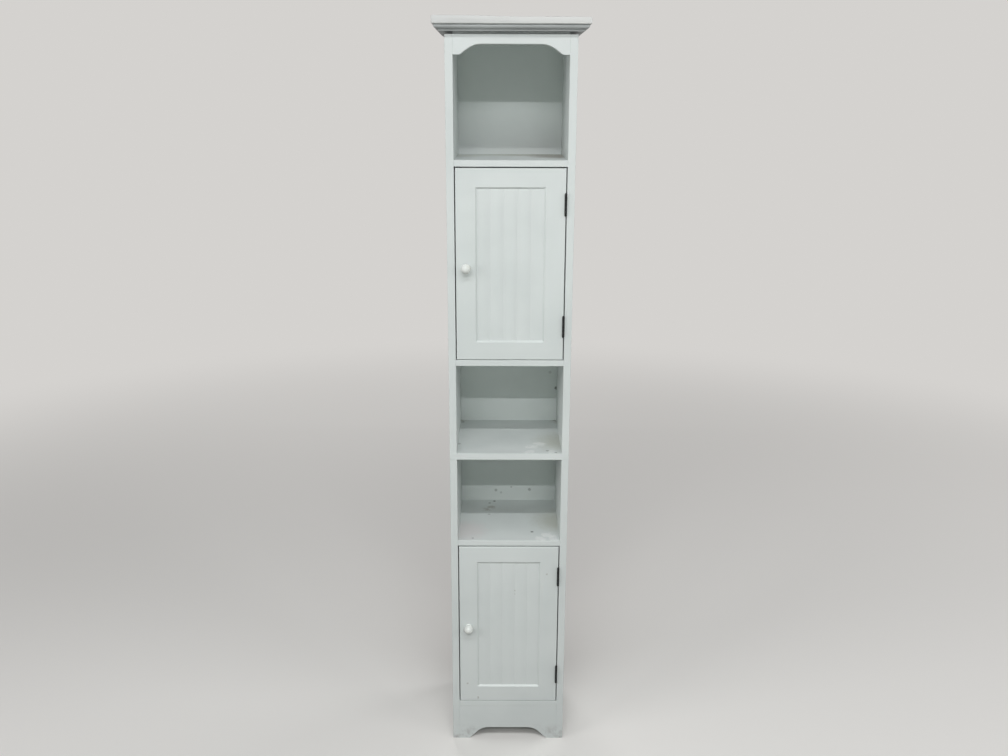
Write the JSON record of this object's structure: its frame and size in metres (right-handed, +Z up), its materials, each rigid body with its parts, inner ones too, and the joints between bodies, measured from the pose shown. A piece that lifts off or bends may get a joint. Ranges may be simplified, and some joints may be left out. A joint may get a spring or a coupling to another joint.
{
  "type": "tall bathroom cabinet",
  "caption": "Tall narrow white bathroom cabinet with a moulded crown, arched valance and plinth, open shelves and inset beadboard doors with round knobs.",
  "frame": {"origin": "on the floor, at the middle of the cabinet's width and of its depth with the knobs included", "axes": "+Z up, the doors face -Y, +X to the right seen from the front"},
  "size_m": [0.355, 0.2949, 1.868],
  "materials": {
    "white_painted_board": "satin paint on fibreboard",
    "white_painted_frame": "satin paint on fibreboard",
    "white_hardboard": "white face, brown back",
    "white_gloss_knob": "gloss enamel on turned wood",
    "black_hinge_steel": "satin black",
    "zinc_screw_steel": "zinc plated",
    "beech_dowel": "raw beech",
    "white_catch_plastic": "matt moulded",
    "catch_magnet": "matt ferrite"
  },
  "bodies": {
    "carcass": {"upper_left_side": "white_painted_board", "upper_right_side": "white_painted_board", "lower_left_side": "white_painted_board", "lower_right_side": "white_painted_board", "middle_board": "white_painted_board", "top_bay_shelf": "white_painted_board", "upper_cupboard_floor": "white_painted_board", "lower_bay_shelf": "white_painted_board", "bottom_board": "white_painted_board", "top_panel": "white_painted_board", "valance": "white_painted_board", "plinth_apron": "white_painted_board", "crown_moulding_board": "white_painted_board", "crown_slab": "white_painted_board", "upper_inner_shelf": "white_painted_board", "lower_inner_shelf": "white_painted_board", "upper_back_panel": "white_hardboard", "lower_back_panel": "white_hardboard", "board_dowels": "beech_dowel", "stacking_dowels": "beech_dowel", "shelf_pins": "zinc_screw_steel", "crown_screws": "zinc_screw_steel", "back_panel_staples": "zinc_screw_steel", "catch_screws": "zinc_screw_steel", "catch_pole_plates": "zinc_screw_steel", "hinge_side_screws": "black_hinge_steel", "catch_magnets": "catch_magnet", "upper_catch_case": "white_catch_plastic", "upper_door_top_hinge_fixed_leaf": "black_hinge_steel", "upper_door_bottom_hinge_fixed_leaf": "black_hinge_steel", "lower_catch_case": "white_catch_plastic", "lower_door_top_hinge_fixed_leaf": "black_hinge_steel", "lower_door_bottom_hinge_fixed_leaf": "black_hinge_steel"},
    "upper_door": {"upper_door_top_hinge_moving_leaf": "black_hinge_steel", "upper_door_bottom_hinge_moving_leaf": "black_hinge_steel", "upper_door_hinge_pins": "black_hinge_steel", "upper_door_hinge_screws": "black_hinge_steel", "upper_door_hinge_stile": "white_painted_frame", "upper_door_knob_stile": "white_painted_frame", "upper_door_top_rail": "white_painted_frame", "upper_door_bottom_rail": "white_painted_frame", "upper_door_beadboard_panel": "white_painted_frame", "upper_door_knob": "white_gloss_knob", "upper_door_knob_screw": "zinc_screw_steel", "upper_door_strike_plate": "zinc_screw_steel", "upper_door_strike_screw": "zinc_screw_steel"},
    "lower_door": {"lower_door_top_hinge_moving_leaf": "black_hinge_steel", "lower_door_bottom_hinge_moving_leaf": "black_hinge_steel", "lower_door_hinge_pins": "black_hinge_steel", "lower_door_hinge_screws": "black_hinge_steel", "lower_door_hinge_stile": "white_painted_frame", "lower_door_knob_stile": "white_painted_frame", "lower_door_top_rail": "white_painted_frame", "lower_door_bottom_rail": "white_painted_frame", "lower_door_beadboard_panel": "white_painted_frame", "lower_door_knob": "white_gloss_knob", "lower_door_knob_screw": "zinc_screw_steel", "lower_door_strike_plate": "zinc_screw_steel", "lower_door_strike_screw": "zinc_screw_steel"}
  },
  "joints": [
    {"name": "upper_door_hinge", "type": "hinge", "parent": "carcass", "child": "upper_door", "pos_m": [0.1292, -0.123, 1.311], "axis": [0, 0, 1], "range_deg": [0, 180]},
    {"name": "lower_door_hinge", "type": "hinge", "parent": "carcass", "child": "lower_door", "pos_m": [0.1292, -0.123, 0.349], "axis": [0, 0, 1], "range_deg": [0, 180]}
  ]
}
